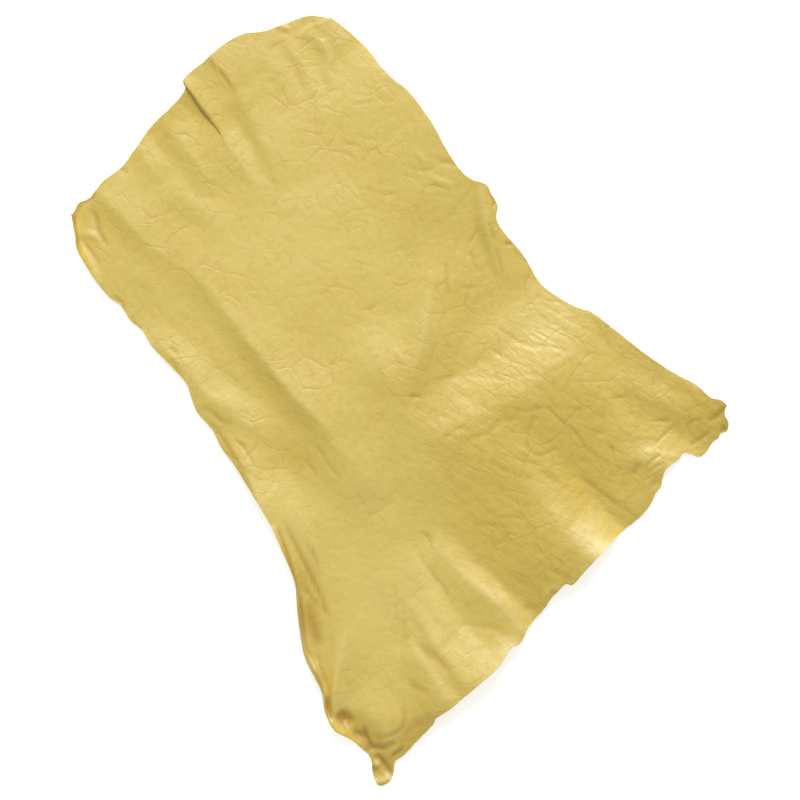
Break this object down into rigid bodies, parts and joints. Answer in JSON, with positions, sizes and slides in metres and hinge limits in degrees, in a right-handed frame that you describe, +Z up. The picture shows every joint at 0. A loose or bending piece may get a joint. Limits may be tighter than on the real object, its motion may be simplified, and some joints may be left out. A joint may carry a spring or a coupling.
{
  "type": "chamois leather",
  "caption": "Whole chamois skin laid out flat, with its natural outline, soft folds, a pleat at the neck edge and a curled flank edge.",
  "frame": {"origin": "on the table, under the middle of the skin's bounding box", "axes": "+Y along the spine toward the neck edge, +X toward the right flank seen from above, +Z up from the table"},
  "size_m": [0.6272, 0.853, 0.0244],
  "materials": {
    "chamois_skin": "matt suede nap, oil-tanned straw yellow, napped on both sides"
  },
  "bodies": {
    "root": {"chamois_skin": "chamois_skin"}
  },
  "joints": []
}
